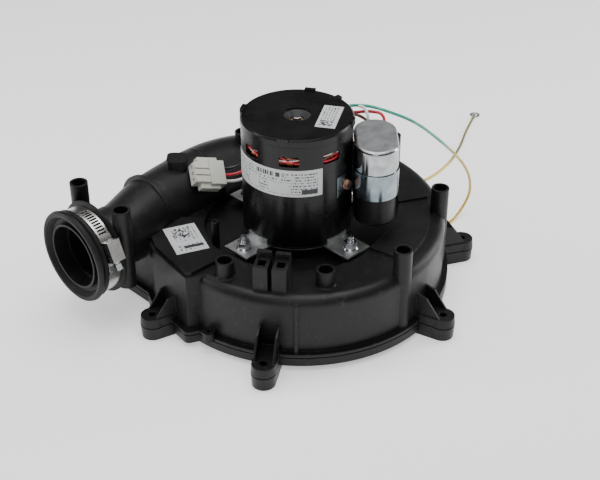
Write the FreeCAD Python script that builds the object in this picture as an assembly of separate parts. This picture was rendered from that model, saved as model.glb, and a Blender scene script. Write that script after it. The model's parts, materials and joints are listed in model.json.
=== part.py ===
import FreeCAD, Part
import math
import os

# Combustion fan: a draft inducer blower. Millimetres, +Z up. The origin is on the motor,
# impeller and inlet axis, at the level of the mounting feet. The outlet faces -X.

V = FreeCAD.Vector
UP = V(0, 0, 1)
ORIGIN = V(0, 0, 0)

# ---- driving dimensions -------------------------------------------------------------
COVER_Z = 4.0              # underside of the bottom cover
COVER_FLOOR = 3.0          # thickness of the cover's floor
GASKET_T = 0.8             # squeezed between cover and housing
FLANGE_Z = 11.5            # parting line of cover and housing
FLANGE_TOP = 14.0
FLANGE_OUT = 4.5           # how far the flange stands out from the wall
PLATEAU_Z = 60.0           # top of the front sector
WALL = 3.0
RIM_ROUND = 8.0
WELL_FLOOR = 54.0
WELL_R = 65.5
FRONT_ARC = [V(-102.6, 0, 0), V(-70.4, -74.9, 0), V(20, -106.5, 0)]
RIGHT_ARC = [V(20, -106.5, 0), V(95, -71, 0), V(138, 25, 0)]
BACK_ARC = [V(138, 25, 0), V(106.4, 96.4, 0), V(30, 128, 0)]
LEFT_CORNERS = [V(30, 128, 0), V(-60, 126.5, 0), V(-98, 113, 0), V(-98, 62, 0),
                V(-104, 50, 0), V(-111, 4, 0), V(-102.6, 0, 0)]
# duct sections: centre, radius; each section stands square to the run of the duct
DUCT = [(V(-114, 85.4, 60), 24.7), (V(-100, 86.5, 60), 25.4), (V(-71, 94, 60), 28.3),
        (V(-45, 97.5, 60), 29.5), (V(15, 98, 60), 29.5), (V(52, 88, 55), 27.0),
        (V(84, 64, 44), 23.0), (V(100, 36, 34), 18.0)]
SPIGOT_X = (-140.0, -112.0)
SPIGOT_R = 25.0
DUCT_WALL = 2.8
DUCT_SEAM = 25.0
OUTLET_Y = 85.4
OUTLET_Z = 60.0
OUTLET_BORE_R = 24.3
OUTLET_FACE_X = -153.7
INLET_R = 34.0
INLET_TOP = 15.5
LUGS = [(-122, 33), (-103, -69), (33, -123), (127, -66), (118, 102), (-20, 143)]
LUG_R = 9.5
LUG_TOP = 18.5
LUG_HOLE_R = 2.75
LUG_DRAFT = 0.7
LUG_BRIDGE = 22.0
WEB_T = 1.6
POST_R = 7.0
POST_BORE_R = 5.4
WALL_POSTS = [(6, -103), (93, -66), (132, 18)]
WALL_POST_TOP = 81.0
TOP_POSTS = [(-87, -12.5), (-43.5, -72.5)]
TOP_POST_TOP = 73.0
DUCT_POSTS = [(-121, 114), (-123, 59.5)]
DUCT_POST_Z = (34.0, 100.0)
BACK_POST = (27, 90)
DIAMOND_POST = (-40, 95)
DIAMOND_HALF = 8.0
DIAMOND_ROUND = 4.0
BACK_POST_Z = (70.0, 97.0)
THIN_POST = (-61, 27)
THIN_POST_R = 3.0
THIN_POST_TOP = 77.0
SIDE_TAB = (-106, -13.5)
DUCT_RINGS = [(-69.5, 96, 30.6, 3.5), (-11.5, 98, 31.2, 3.0)]   # x, y, radius, width
COVER_SCREWS = WALL_POSTS  # a cover screw goes up into each wall post
COVER_SCREW_R = 2.0
BLOCK_TURN = -147.0
RIB_TURN = -135.4
# sectors of the top that stand above the front one: from, to, top, margin
RAISED = [(-79, -27, 62.0, 12.0), (-27, 100, 64.0, 12.0), (132, 178, 63.0, 2.0)]
COUPLING_BASE_X = OUTLET_FACE_X + 7.7
# turned profile of the coupling, (radius, distance out from its base)
COUPLING = [(OUTLET_BORE_R, 5.7), (OUTLET_BORE_R, -6.0), (SPIGOT_R, -6.0), (SPIGOT_R, -16.0),
            (33.6, -16.0), (37.0, -15.6), (37.0, -14.2), (33.0, -13.0), (33.0, -2.0), (35.2, -1.0),
            (35.2, 1.5), (34.0, 2.5), (36.0, 3.4), (36.7, 4.8), (36.2, 6.6), (34.5, 7.7),
            (32.5, 7.4), (29.5, 3.0), (26.0, 2.2), (26.0, 5.7)]
CLAMP_R = 33.0
CLAMP_T = 0.9
CLAMP_X = (-12.5, -2.3)
CLAMP_TURN = -66.0
CLAMP_SLOTS = 10
WORM_X = 37.7
WORM_Z = -7.4
WORM_R = 3.1
MOTOR_R = 42.0
MOTOR_WALL = 1.2
MOTOR_Z = 62.0
PLATE_T = 1.6
MOTOR_FOOT = MOTOR_Z + PLATE_T
CAP_Z = 149.5
MOTOR_TOP = 155.4
CAP_TAB_START = 31.0
EXTRA_TAB_TURN = -4.0
STACK_Z = (88.0, 124.0)
COIL_H = 15.5
SLOT_START = 172.0
SLOT_COUNT = 8
EAR_STUD_R = 56.5
EAR_ANGLES = [0, 90, 180, 270]
EAR_REACH = 65.0
EAR_HALF = 12.0
STUD_R = 2.4
STUD_TOP = 74.0
GROMMETS = [(20.0, 129.0), (78.0, 97.0)]                        # angle, height
GROMMET_R = 5.5
SHAFT_R = 4.0
BEARING_R = 10.4
SEAL_R = 9.0
RUNNING_GAP = 0.06
IMPELLER_R = 62.0
IMPELLER_Z = (18.0, 47.0)
BLADES = 12
CAPACITOR_X = 38.2
CAPACITOR_Y = -44.8
CAPACITOR_ANGLE = 45.0
CAN_LENGTH = 56.0
CAN_DEPTH = 33.0
CAN_Z = (99.5, 140.0)
BOOT_Z = 76.0
BOOT_IN = 1.6              # how much smaller the boot is than the can
BOOT_WALL = 2.0
STRAP_Z = (99.5, 120.5)
STRAP_T = 0.8
STRAP_FOOT = (-91.0, -55.0)
SCREW_ANGLE = -77.5
SCREW_Z = 109.0
SCREW_R = 1.9
LABEL_T = 0.25
WRAP_LABEL_Z = (109.0, 131.0)
WRAP_LABEL_ARC = (140.0, 251.0)
TOP_LABEL = (35.0, 15.0)
TOP_LABEL_PLACE = V(13.5, -20.2, MOTOR_TOP)
TOP_LABEL_TURN = 32.0
HOUSING_LABEL = (38.0, 25.4)
HOUSING_LABEL_PLACE = V(-79.0, 41.0, 63.0)
HOUSING_LABEL_TURN = 67.0
WIRE_D = 2.4
PLUG_CENTRE = V(-31, 72.6, 87.0)
PLUG_X = V(0.911, -0.297, -0.284)
PLUG_Z = V(0.0, -0.69, 0.724)
PLUG_ROWS = (-5.4, 0.0, 5.4)
LEADS = {
    "black_lead": [(-14.7, 71.5, 86.0), (-7.5, 69.2, 83.9), (0, 64, 87), (6, 59, 93), (11.2, 52.8, 100.1),
                   (9.15, 43.05, 100.3)],
    "red_lead": [(-16.9, 68.0, 82.6), (-9.8, 65.6, 80.4), (-2, 60.5, 82.5), (4.5, 57, 88.5),
                 (11.2, 52.8, 96.8), (9.15, 43.05, 97.0)],
    "white_lead": [(-19.1, 64.4, 79.2), (-12, 62.0, 76.9), (-3.5, 57, 78), (3, 54, 84),
                   (11.2, 52.8, 93.5), (9.15, 43.05, 93.7)],
}
GROUND_ROUTE = [
    (41.35, 15.05, 131.4), (49.3, 18.0, 131.8), (61, 7, 138), (68, -8, 141.5), (77, -24, 138),
    (95, -35.5, 127), (120, -39, 104), (150, -37, 76), (174, -32, 50), (185, -28.5, 30),
    (187.5, -26, 16), (178, -25.5, 5), (156, -30, 1.5), (145.5, -12, 1.4), (149, 13, 1.5),
    (161, 31, 1.4), (184, 37, 1.5), (208, 33.5, 1.4), (240, 38, 1.4), (275, 52, 1.5), (305, 69, 1.4),
    (331, 80.5, 1.5),
]
TERMINAL_CENTRE = (338.5, 84.2)
CAPACITOR_LEADS = {
    "capacitor_red_lead": [(42.1, 12.98, 127.6), (50.6, 16.0, 128), (62, 3, 133), (69, -10, 136.5),
                           (73, -21, 137), (71, -25, 128), (66, -24, 112), (62, -24, 98),
                           (57.5, -27.0, 90)],
    "capacitor_brown_lead": [(40.6, 17.1, 127.6), (49.2, 20.2, 127.6), (61, 14, 128), (68, 2, 130),
                             (70, -9, 127), (68, -15, 115), (63, -18, 101), (54.0, -23.2, 90)],
}


# ---- small builders -----------------------------------------------------------------
def cyl(radius, z0, z1, x=0.0, y=0.0):
    return Part.makeCylinder(radius, z1 - z0, V(x, y, z0))


def ring(outer, inner, z0, z1, x=0.0, y=0.0):
    return cyl(outer, z0, z1, x, y).cut(cyl(inner, z0 - 1, z1 + 1, x, y))


def box(x0, x1, y0, y1, z0, z1):
    return Part.makeBox(x1 - x0, y1 - y0, z1 - z0, V(x0, y0, z0))


def turned(profile):
    """Solid of revolution about Z from (radius, z) corners."""
    wire = Part.makePolygon([V(r, 0, z) for r, z in profile + profile[:1]])
    return Part.Face(wire).revolve(ORIGIN, UP, 360)


def prism(points, z0, z1):
    wire = Part.makePolygon([V(x, y, z0) for x, y in points + points[:1]])
    return Part.Face(wire).extrude(V(0, 0, z1 - z0))


def polar(radius, degrees, z=0.0):
    a = math.radians(degrees)
    return V(radius * math.cos(a), radius * math.sin(a), z)


def turn(shape, degrees):
    copy = shape.copy()
    copy.rotate(ORIGIN, UP, degrees)
    return copy


def around(shape, count, start=0.0):
    return [turn(shape, start + i * 360.0 / count) for i in range(count)]


def wedge(from_deg, to_deg, z0, z1, reach=200.0):
    steps = [from_deg + (to_deg - from_deg) * i / 4 for i in range(5)]
    corners = [(0.0, 0.0)] + [(polar(reach, a).x, polar(reach, a).y) for a in steps]
    return prism(corners, z0, z1)


def along_x(shape, x, y, z):
    """Turns a shape built round Z so that its +Z points to -X, with its foot at x."""
    copy = shape.copy()
    copy.rotate(ORIGIN, V(0, 1, 0), -90)
    copy.translate(V(x, y, z))
    return copy


def placed(shape, origin, x_axis, z_axis):
    """Moves a shape from the origin's axes to the given ones."""
    y_axis = z_axis.cross(x_axis)
    matrix = FreeCAD.Matrix(x_axis.x, y_axis.x, z_axis.x, origin.x,
                            x_axis.y, y_axis.y, z_axis.y, origin.y,
                            x_axis.z, y_axis.z, z_axis.z, origin.z,
                            0, 0, 0, 1)
    copy = shape.copy()
    copy.transformShape(matrix, True)
    return copy


def hexagon(across_flats, z0, z1, x=0.0, y=0.0):
    r = across_flats / math.sqrt(3)
    corners = [(x + polar(r, 60 * i).x, y + polar(r, 60 * i).y) for i in range(6)]
    return prism(corners, z0, z1)


def oval(length, depth, z0, z1):
    """Flat-sided oval prism, its length along X, centred on the origin."""
    r = depth / 2
    half = length / 2 - r
    edges = [Part.makeLine(V(-half, -r, z0), V(half, -r, z0)),
             Part.Arc(V(half, -r, z0), V(half + r, 0, z0), V(half, r, z0)).toShape(),
             Part.makeLine(V(half, r, z0), V(-half, r, z0)),
             Part.Arc(V(-half, r, z0), V(-half - r, 0, z0), V(-half, -r, z0)).toShape()]
    return Part.Face(Part.Wire(edges)).extrude(V(0, 0, z1 - z0))


def cable(name, points, diameter=WIRE_D):
    """Round tube along straight runs joined by tangent arcs. Prints the arcs' radii."""
    route = [V(*p) for p in points]
    edges = []
    radii = []
    start = route[0]
    for before, corner, after in zip(route, route[1:], route[2:]):
        back = before - corner
        onward = after - corner
        half_turn = (math.pi - back.getAngle(onward)) / 2
        trim = 0.45 * min(back.Length, onward.Length)
        radius = trim / math.tan(half_turn)
        radii.append(radius)
        back.normalize()
        onward.normalize()
        enter = corner + back * trim
        leave = corner + onward * trim
        inward = back + onward
        inward.normalize()
        middle = corner + inward * (radius / math.cos(half_turn) - radius)
        edges.append(Part.makeLine(start, enter))
        edges.append(Part.Arc(enter, middle, leave).toShape())
        start = leave
    edges.append(Part.makeLine(start, route[-1]))
    path = Part.Wire(edges)
    profile = Part.Wire(Part.makeCircle(diameter / 2, route[0], route[1] - route[0]))
    tube = path.makePipeShell([profile], True, True)
    expected = math.pi * diameter ** 2 / 4 * path.Length
    print(f"{name}: length {path.Length:.1f} mm, tightest arc {min(radii):.1f} mm,",
          f"volume ratio {tube.Volume / expected:.4f}")
    return tube


def group(solids):
    return Part.makeCompound(solids)


# ---- housing ------------------------------------------------------------------------
def outline_face(offset=0.0):
    edges = [Part.Arc(*FRONT_ARC).toShape(), Part.Arc(*RIGHT_ARC).toShape(),
             Part.Arc(*BACK_ARC).toShape()]
    edges += [Part.makeLine(a, b) for a, b in zip(LEFT_CORNERS, LEFT_CORNERS[1:])]
    face = Part.Face(Part.Wire(edges))
    if offset:
        face = face.makeOffset2D(offset, 0, False, False, False)
    return face


def outline_prism(offset, z0, z1):
    solid = outline_face(offset).extrude(V(0, 0, z1 - z0))
    solid.translate(V(0, 0, z0))
    return solid


def duct_solid(shrink, sections):
    wires = []
    centres = [centre for centre, radius in DUCT]
    for i, (centre, radius) in enumerate(sections):
        direction = centres[min(i + 1, len(centres) - 1)] - centres[max(i - 1, 0)]
        circle = Part.makeCircle(radius - shrink, centre, direction)
        circle.rotate(centre, direction, DUCT_SEAM)
        wires.append(Part.Wire(circle))
    return Part.makeLoft(wires, True, False)


def spigot(radius, extra):
    run = Part.makeCylinder(radius, SPIGOT_X[1] - SPIGOT_X[0] + extra)
    return along_x(run, SPIGOT_X[1], OUTLET_Y, OUTLET_Z)


def well_prism(z0, z1, wall=0.0):
    """The well round the motor: round at the front, wider towards the right."""
    front = cyl(WELL_R + wall, z0, z1)
    label_side = cyl(WELL_R + 7 + wall, z0, z1).common(wedge(58, 178, z0, z1))
    wide = cyl(97 + wall, z0, z1, 10, 33).common(wedge(-78, 60, z0, z1))
    return front.fuse([label_side, wide])


def raised_sector(from_deg, to_deg, z1, margin):
    """Sector of the top face that stands above the front sector."""
    inner = outline_prism(-margin, PLATEAU_Z - 1, z1)
    return inner.common(wedge(from_deg, to_deg, PLATEAU_Z - 1, z1))


def tube_post(x, y, z0, z1):
    post = cyl(POST_R, z0, z1, x, y)
    foot = Part.makeCone(POST_R + 2.5, POST_R, 3.0, V(x, y, z0))
    return post.fuse(foot)


def gussets(x, y):
    """Two thin triangular webs from a lug up the wall."""
    towards = V(-x, -y, 0)
    towards.normalize()
    side = V(-towards.y, towards.x, 0)
    webs = []
    for sign in (-1, 1):
        near = V(x, y, LUG_TOP - 5) + side * (sign * (LUG_R - WEB_T))
        corners = [near, near + towards * 32, near + towards * 32 + V(0, 0, 27),
                   near + towards * 11 + V(0, 0, 20), near + V(0, 0, 5)]
        wire = Part.makePolygon(corners + corners[:1])
        webs.append(Part.Face(wire).extrude(side * (-sign * WEB_T)))
    return webs


def lug_pad(x, y, z0, z1, grow):
    """Drafted round pad with a straight bridge to the flange."""
    foot, top = (LUG_R - LUG_DRAFT, LUG_R) if grow else (LUG_R, LUG_R - LUG_DRAFT)
    pad = Part.makeCone(foot, top, z1 - z0, V(x, y, z0))
    half = LUG_R - LUG_DRAFT
    bridge = box(0, LUG_BRIDGE, -half, half, z0, z1)
    bridge.rotate(ORIGIN, UP, math.degrees(math.atan2(-y, -x)))
    bridge.translate(V(x, y, 0))
    return pad.fuse(bridge)


def block_bosses():
    """Two blocks side by side with pockets and rounded raised backs."""
    blocks = []
    for y0, y1 in ((-12.4, -1.5), (1.5, 12.4)):
        block = box(80, 94.5, y0, y1, PLATEAU_Z - 2, 80)
        back = box(77.5, 81, y0, y1, PLATEAU_Z - 2, 85)
        pocket = box(84, 91, y0 + 2.5, y1 - 2.5, 66, 81)
        blocks.append(turn(block.fuse(back).cut(pocket), BLOCK_TURN))
    return blocks


def diamond_boss(x, y):
    half = DIAMOND_HALF
    boss = box(-half, half, -half, half, 80, BACK_POST_Z[1])
    boss.rotate(ORIGIN, UP, 45)
    boss.translate(V(x, y, 0))
    return boss.makeFillet(DIAMOND_ROUND, [e for e in boss.Edges if e.BoundBox.ZLength > 10])


def duct_ring(x, y, radius, width):
    return along_x(Part.makeCylinder(radius, width), x, y, OUTLET_Z)


def volute_housing():
    body = outline_prism(0, FLANGE_Z, PLATEAU_Z)
    top_arcs = [e for e in body.Edges
                if abs(e.BoundBox.ZMin - PLATEAU_Z) < 0.01 and e.BoundBox.ZLength < 0.01
                and hasattr(e.Curve, "Radius") and e.Curve.Radius > 50]
    body = body.makeFillet(RIM_ROUND, top_arcs)
    body = body.fuse([raised_sector(*sector) for sector in RAISED])
    body = body.cut(well_prism(WELL_FLOOR, 70))
    body = body.fuse(duct_solid(0.0, DUCT)).fuse(spigot(SPIGOT_R, 0.0))
    extras = [outline_prism(FLANGE_OUT, FLANGE_Z, FLANGE_TOP)]
    extras += [tube_post(x, y, PLATEAU_Z - 2, TOP_POST_TOP) for x, y in TOP_POSTS]
    extras += [cyl(POST_R, FLANGE_Z, WALL_POST_TOP, x, y) for x, y in WALL_POSTS]
    extras += [cyl(POST_R, *DUCT_POST_Z, x, y) for x, y in DUCT_POSTS]
    extras += [cyl(POST_R, *BACK_POST_Z, *BACK_POST), diamond_boss(*DIAMOND_POST)]
    extras += [cyl(THIN_POST_R, WELL_FLOOR - 1, THIN_POST_TOP, *THIN_POST)]
    extras += [turn(box(100, 105.5, -1.5, 1.5, FLANGE_Z, PLATEAU_Z - 4), RIB_TURN)]
    extras += [box(-97, -85, 72, 84, FLANGE_Z, 40)]
    extras += [duct_ring(*place) for place in DUCT_RINGS]
    extras += [cyl(5.0, FLANGE_Z, 19, *SIDE_TAB)]
    extras += block_bosses()
    for x, y in LUGS:
        extras += gussets(x, y)
        extras.append(lug_pad(x, y, FLANGE_Z, LUG_TOP, False))
    for angle in EAR_ANGLES:
        spot = polar(EAR_STUD_R, angle)
        extras.append(cyl(POST_R, WELL_FLOOR - 1, MOTOR_Z, spot.x, spot.y))
    body = body.fuse(extras)
    cavity = outline_prism(-WALL, FLANGE_Z - 1, PLATEAU_Z - WALL)
    cavity = cavity.cut(well_prism(WELL_FLOOR - WALL, 70, WALL))
    for x, y in WALL_POSTS:
        cavity = cavity.cut(cyl(POST_R, FLANGE_Z - 2, PLATEAU_Z, x, y))
    body = body.cut(cavity).cut(duct_solid(DUCT_WALL, DUCT[:-1]))
    body = body.cut(spigot(SPIGOT_R - DUCT_WALL, 5.0))
    bores = [cyl(POST_BORE_R, 63, 75, x, y) for x, y in TOP_POSTS]
    bores += [cyl(POST_BORE_R, 55, 82, x, y) for x, y in WALL_POSTS]
    bores += [cyl(POST_BORE_R, 90, 101, x, y) for x, y in DUCT_POSTS]
    bores += [cyl(POST_BORE_R, 92, 98, *BACK_POST), cyl(1.4, 66, 78, *THIN_POST)]
    bores += [cyl(LUG_HOLE_R, 10, 20, x, y) for x, y in LUGS]
    bores += [cyl(SEAL_R, 45, 60), cyl(1.5, 12, 20, *SIDE_TAB)]
    bores += [cyl(COVER_SCREW_R, FLANGE_Z - 1, 22, x, y) for x, y in COVER_SCREWS]
    for angle in EAR_ANGLES:
        spot = polar(EAR_STUD_R, angle)
        bores.append(cyl(STUD_R, 55, 63, spot.x, spot.y))
    return body.cut(bores).removeSplitter()


def bottom_cover():
    top = FLANGE_Z - GASKET_T
    plate = outline_prism(FLANGE_OUT, COVER_Z, top)
    plate = plate.cut(outline_prism(-WALL, COVER_Z + COVER_FLOOR, FLANGE_Z))
    for x, y in WALL_POSTS:
        plate = plate.fuse(cyl(POST_R, COVER_Z, top, x, y))
    collar = turned([(INLET_R, 0), (INLET_R + 5, 0), (INLET_R + 5, COVER_Z + 0.5),
                     (INLET_R + 3, COVER_Z + 3.5), (INLET_R + 1.2, INLET_TOP), (INLET_R, INLET_TOP)])
    plate = plate.cut(cyl(INLET_R, 0, 20)).fuse(collar)
    feet = [lug_pad(x, y, 0, top, True) for x, y in LUGS]
    feet = [f.cut(outline_prism(0, -1, 20)) for f in feet]
    plate = plate.fuse(feet)
    holes = [cyl(LUG_HOLE_R, -1, 15, x, y) for x, y in LUGS]
    holes += [cyl(COVER_SCREW_R, 3, 12, x, y) for x, y in COVER_SCREWS]
    return plate.cut(holes).removeSplitter()


def cover_gasket():
    z0 = FLANGE_Z - GASKET_T
    band = outline_prism(FLANGE_OUT - 1, z0, FLANGE_Z).cut(outline_prism(-WALL + 0.5, z0 - 1, 15))
    return band.cut([cyl(COVER_SCREW_R, 3, 12, x, y) for x, y in COVER_SCREWS])


def inlet_gasket():
    return ring(INLET_R + 18, INLET_R + 5.5, 1.0, COVER_Z)


def cover_screws():
    screws = []
    for x, y in COVER_SCREWS:
        head = hexagon(7.0, 1.0, COVER_Z, x, y).fuse(cyl(4.5, COVER_Z - 1, COVER_Z, x, y))
        screws.append(head.fuse(cyl(COVER_SCREW_R, COVER_Z - 0.5, 20, x, y)))
    return group(screws)


# ---- outlet coupling and hose clamp --------------------------------------------------
def coupling_place(shape):
    return along_x(shape, COUPLING_BASE_X, OUTLET_Y, OUTLET_Z)


def outlet_coupling():
    return coupling_place(turned(COUPLING))


def clamp_band():
    """Band with a run of drive slots beside its screw housing."""
    band = ring(CLAMP_R + CLAMP_T, CLAMP_R, *CLAMP_X)
    slot = Part.makeBox(3, 1.6, 6.4, V(CLAMP_R - 1, -0.8, CLAMP_X[0] + 1.9))
    slots = [turn(slot, -2.0 - 4.4 * i) for i in range(CLAMP_SLOTS)]
    return coupling_place(band.cut(slots))


def clamp_housing():
    shell = box(CLAMP_R, CLAMP_R + 8.5, -8, 8, CLAMP_X[0] - 0.2, CLAMP_X[1] + 0.2)
    shell = shell.cut(Part.makeCylinder(WORM_R + 0.2, 30, V(WORM_X, -15, WORM_Z), V(0, 1, 0)))
    return coupling_place(turn(shell.cut(cyl(CLAMP_R + CLAMP_T, -20, 5)), CLAMP_TURN))


def clamp_screw():
    worm = Part.makeCylinder(WORM_R, 15, V(WORM_X, -7.5, WORM_Z), V(0, 1, 0))
    neck = Part.makeCylinder(2.2, 3, V(WORM_X, -10.5, WORM_Z), V(0, 1, 0))
    head = hexagon(7.0, 0, 4.5)
    head.rotate(ORIGIN, V(1, 0, 0), 90)
    head.translate(V(WORM_X, -10, WORM_Z))
    slot = box(33, 43, -15, -13.3, WORM_Z - 0.6, WORM_Z + 0.6)
    return coupling_place(turn(worm.fuse([neck, head]).cut(slot), CLAMP_TURN))


# ---- rotating parts -------------------------------------------------------------------
def impeller():
    z0, z1 = IMPELLER_Z
    back = ring(IMPELLER_R, 9.0, z1 - 2.2, z1)
    shroud = turned([(36.0, z0), (38.0, z0), (IMPELLER_R, z0 + 3), (IMPELLER_R, z0 + 5),
                     (36.0, z0 + 2)])
    boss = ring(14.0, 9.0, z1 - 16, z1 - 1)
    inner = V(37, 0, z0 + 1.2)
    mid = V(50, -9, z0 + 1.2)
    outer = V(59, -22, z0 + 1.2)
    curve = Part.Arc(inner, mid, outer).toShape()
    blade = curve.extrude(V(0, 0, z1 - z0 - 2.4)).makeOffsetShape(1.8, 0.01, fill=True)
    return back.fuse([shroud, boss] + around(blade, BLADES)).removeSplitter()


def impeller_hub():
    z1 = IMPELLER_Z[1]
    return ring(9.0, SHAFT_R, z1 - 16, z1).fuse(ring(11.5, SHAFT_R, z1, z1 + 1.2))


def impeller_clip():
    z1 = IMPELLER_Z[1]
    return ring(7.5, SHAFT_R, z1 - 18, z1 - 16).cut(box(0, 9, -1.5, 1.5, 20, 40))


def cooling_fan():
    hub = ring(9.0, SHAFT_R, 56.0, 60.8)
    disc = ring(27.0, 8.0, 59.6, 60.8)
    blade = box(8.5, 26.5, -0.7, 0.7, 56.0, 60.0)
    return hub.fuse([disc] + around(blade, 10)).removeSplitter()


def rotor_shaft():
    body = cyl(SHAFT_R, 26.0, 150.4).fuse(cyl(3.0, 150.4, 153.4))
    return body.makeChamfer(0.4, [e for e in body.Edges if e.BoundBox.ZMin > 153.3])


def rotor_core():
    low, high = STACK_Z
    core = ring(24.0, SHAFT_R, low, high)
    rings = [ring(22.5, 13.0, low - 6, low), ring(22.5, 13.0, high, high + 6)]
    return core.fuse(rings)


# ---- motor ----------------------------------------------------------------------------
def mounting_plate():
    """Disc under the motor with four ears, each with an upturned lip against the motor's wall."""
    plate = ring(MOTOR_R - 0.5, 30.0, MOTOR_Z, MOTOR_FOOT)
    lip = ring(MOTOR_R + 1.4, MOTOR_R + 0.1, MOTOR_Z, MOTOR_Z + 6.5)
    lip = lip.common(box(35, 50, -10, 10, 60, 70))
    ear = box(38, EAR_REACH, -EAR_HALF, EAR_HALF, MOTOR_Z, MOTOR_FOOT)
    for angle in EAR_ANGLES:
        plate = plate.fuse([turn(ear, angle), turn(lip, angle)])
    spots = [polar(EAR_STUD_R, angle) for angle in EAR_ANGLES]
    holes = [cyl(STUD_R + 0.2, 60, 66, spot.x, spot.y) for spot in spots]
    return plate.cut(holes).removeSplitter()


def ear_studs():
    spots = [polar(EAR_STUD_R, angle) for angle in EAR_ANGLES]
    return group([cyl(STUD_R, 55.0, STUD_TOP, spot.x, spot.y) for spot in spots])


def ear_nuts():
    nuts = []
    z0 = MOTOR_FOOT
    for spot in [polar(EAR_STUD_R, angle) for angle in EAR_ANGLES]:
        flange = Part.makeCone(6.0, 4.9, 1.6, V(spot.x, spot.y, z0))
        nut = flange.fuse(hexagon(9.0, z0 + 1, z0 + 5.6, spot.x, spot.y))
        nuts.append(nut.cut(cyl(STUD_R, 60, 75, spot.x, spot.y)))
    return group(nuts)


def cooling_slots():
    slot = box(38, 45, -7.5, 7.5, 133.5, 141.8)
    corners = [e for e in slot.Edges if e.BoundBox.XLength > 6]
    return around(slot.makeFillet(2.0, corners), SLOT_COUNT, SLOT_START)


def motor_shell():
    shell = ring(MOTOR_R, MOTOR_R - MOTOR_WALL, MOTOR_FOOT, CAP_Z)
    holes = cooling_slots() + [grommet_hole(angle, z) for angle, z in GROMMETS]
    holes.append(screw_cylinder(SCREW_R, 6))
    return shell.cut(holes)


def grommet_hole(angle, z):
    hole = Part.makeCylinder(GROMMET_R, 12, V(36, 0, z), V(1, 0, 0))
    return turn(hole, angle)


def lead_grommets():
    grommets = []
    for angle, z in GROMMETS:
        body = Part.makeCylinder(GROMMET_R, 3.2, V(40.8, 0, z), V(1, 0, 0))
        lip = Part.makeCylinder(GROMMET_R + 1.8, 1.8, V(42.2, 0, z), V(1, 0, 0))
        grommets.append(turn(body.fuse(lip), angle))
    return group(grommets)


def motor_top_cap():
    inner = MOTOR_R - MOTOR_WALL
    cap = turned([(MOTOR_R + 0.5, CAP_Z), (MOTOR_R + 0.5, MOTOR_TOP - 1.2), (MOTOR_R - 0.7, MOTOR_TOP),
                  (BEARING_R, MOTOR_TOP), (BEARING_R, 144.0), (5.0, 144.0), (5.0, 142.5), (11.8, 142.5),
                  (11.8, MOTOR_TOP - 1.5), (inner, MOTOR_TOP - 1.5), (inner, CAP_Z)])
    tab = box(39.5, MOTOR_R + 1.1, -4.2, 4.2, 151.0, MOTOR_TOP + 1.2)
    tab = tab.cut(ring(MOTOR_R + 0.2, 0.1, 140, MOTOR_TOP - 0.2))
    extra = turn(tab.common(box(0, 50, -2.2, 2.2, 0, 200)), EXTRA_TAB_TURN)
    return cap.fuse(around(tab, 4, CAP_TAB_START) + [extra]).removeSplitter()


def upper_bearing():
    return ring(BEARING_R, SHAFT_R + RUNNING_GAP, 144.0, 150.0)


def upper_bearing_retainer():
    return turned([(5.4, 150.0), (BEARING_R, 150.0), (BEARING_R, 154.2), (8.8, 154.2), (6.2, 151.8),
                   (5.4, 151.8)])


def motor_bottom_bell():
    inner = MOTOR_R - MOTOR_WALL
    z0 = MOTOR_FOOT
    return turned([(5.0, z0), (inner, z0), (inner, z0 + 1.4), (11.8, z0 + 1.4), (11.8, 76.0),
                   (BEARING_R, 76.0), (BEARING_R, z0 + 1.4), (5.0, z0 + 1.4)])


def lower_bearing():
    return ring(BEARING_R, SHAFT_R + RUNNING_GAP, 65.0, 72.0)


def lower_bearing_retainer():
    return ring(BEARING_R, 5.4, 72.0, 74.0)


def stator_core():
    core = ring(MOTOR_R - MOTOR_WALL, 24.5, *STACK_Z)
    slot = box(28.0, 37.5, -2.2, 2.2, 80, 130).fuse(box(24.0, 29.0, -0.9, 0.9, 80, 130))
    return core.cut(around(slot, 12, 15))


def stator_windings():
    coils = []
    for z0, z1 in ((STACK_Z[1], STACK_Z[1] + COIL_H), (STACK_Z[0] - COIL_H, STACK_Z[0])):
        coil = ring(38.5, 27.5, z0, z1)
        rims = [e for e in coil.Edges if e.BoundBox.ZLength < 0.01]
        coils.append(coil.makeFillet(3.0, rims))
    return group(coils)


def shaft_seal():
    return ring(SEAL_R, SHAFT_R + 0.3, 51.5, 53.5)


# ---- capacitor --------------------------------------------------------------------------
def capacitor_place(shape):
    copy = shape.copy()
    copy.rotate(ORIGIN, UP, CAPACITOR_ANGLE)
    copy.translate(V(CAPACITOR_X, CAPACITOR_Y, 0))
    return copy


def capacitor_can():
    can = oval(CAN_LENGTH, CAN_DEPTH, CAN_Z[0], CAN_Z[1])
    rim = [e for e in can.Edges if e.BoundBox.ZMin > CAN_Z[1] - 0.01]
    return capacitor_place(can.makeFillet(3.0, rim))


def capacitor_boot():
    length, depth = CAN_LENGTH - BOOT_IN, CAN_DEPTH - BOOT_IN
    boot = oval(length, depth, BOOT_Z, CAN_Z[0])
    floor = [e for e in boot.Edges if e.BoundBox.ZMax < BOOT_Z + 0.01]
    boot = boot.makeFillet(3.0, floor)
    hollow = oval(length - 2 * BOOT_WALL, depth - 2 * BOOT_WALL, BOOT_Z + 4, CAN_Z[0] + 1)
    return capacitor_place(boot.cut(hollow))


def capacitor_terminals():
    blades = [box(x - 3.1, x + 3.1, -0.4, 0.4, 84.0, CAN_Z[0]) for x in (-9, 9)]
    return capacitor_place(group(blades))


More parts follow.
